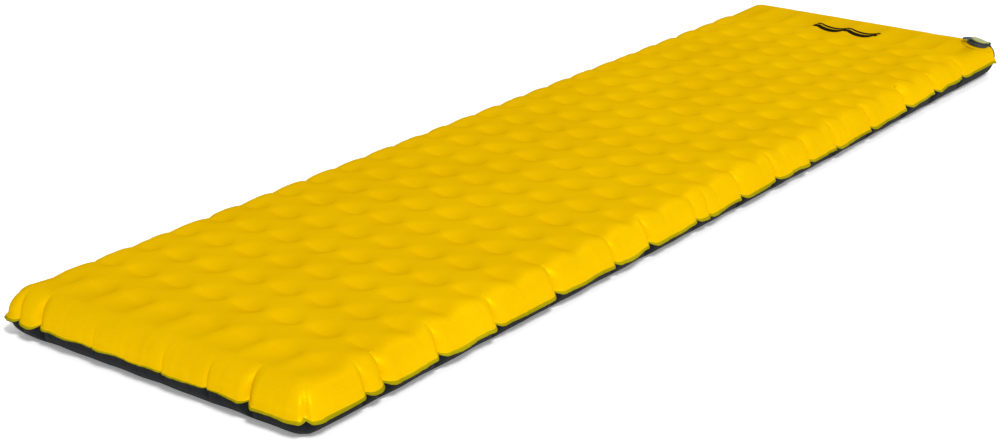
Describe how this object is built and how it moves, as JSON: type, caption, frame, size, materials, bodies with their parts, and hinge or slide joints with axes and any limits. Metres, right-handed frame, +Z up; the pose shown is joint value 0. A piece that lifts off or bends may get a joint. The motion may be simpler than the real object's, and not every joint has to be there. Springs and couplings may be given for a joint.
{
  "type": "inflatable sleeping pad",
  "caption": "Rectangular inflatable sleeping pad with a dimpled top, welded flange, internal film trusses and a flat two-stage corner valve.",
  "frame": {"origin": "centre of the pad's outline, on the face that lies on the ground", "axes": "+Y towards the head end, +X towards the long side that the valve is on, +Z up"},
  "size_m": [0.508, 1.83, 0.0735],
  "materials": {
    "top_fabric": "matte coated ripstop",
    "bottom_fabric": "matte coated ripstop",
    "truss_film": "translucent film",
    "reflective_film": "metallised film",
    "valve_clear": "frosted translucent",
    "valve_dark": "satin moulded",
    "leash_webbing": "woven",
    "silicone": "matte"
  },
  "bodies": {
    "pad": {"top_sheet": "top_fabric", "bottom_sheet": "bottom_fabric", "reflective_film": "reflective_film", "truss_01": "truss_film", "truss_02": "truss_film", "truss_03": "truss_film", "truss_04": "truss_film", "truss_05": "truss_film", "truss_06": "truss_film", "truss_07": "truss_film", "truss_08": "truss_film", "truss_09": "truss_film", "truss_10": "truss_film", "truss_11": "truss_film", "truss_12": "truss_film", "truss_13": "truss_film", "truss_14": "truss_film", "truss_15": "truss_film", "truss_16": "truss_film", "truss_17": "truss_film", "truss_18": "truss_film", "truss_19": "truss_film", "truss_20": "truss_film", "truss_21": "truss_film", "truss_22": "truss_film", "truss_23": "truss_film", "truss_24": "truss_film", "truss_25": "truss_film", "truss_26": "truss_film", "valve_patch": "valve_clear", "valve_base": "valve_dark", "valve_leash": "leash_webbing"},
    "dump_plug": {"dump_plug": "valve_dark"},
    "mouth_cap": {"mouth_cap": "valve_clear"},
    "one_way_flap": {"one_way_flap": "silicone"}
  },
  "joints": [
    {"name": "dump_plug_hinge", "type": "hinge", "parent": "pad", "child": "dump_plug", "pos_m": [0.23965, 0.88324, 0.05911], "axis": [-0.6, 0.8, 0], "range_deg": [0, 90]},
    {"name": "mouth_cap_hinge", "type": "hinge", "parent": "dump_plug", "child": "mouth_cap", "pos_m": [0.23789, 0.88192, 0.06441], "axis": [-0.6, 0.8, 0], "range_deg": [0, 120]},
    {"name": "one_way_flap_hinge", "type": "hinge", "parent": "dump_plug", "child": "one_way_flap", "pos_m": [0.22709, 0.87382, 0.05265], "axis": [0.6, -0.8, 0], "range_deg": [0, 40], "stiffness_Nm_per_rad": 0.001, "springref_deg": -5.73}
  ]
}
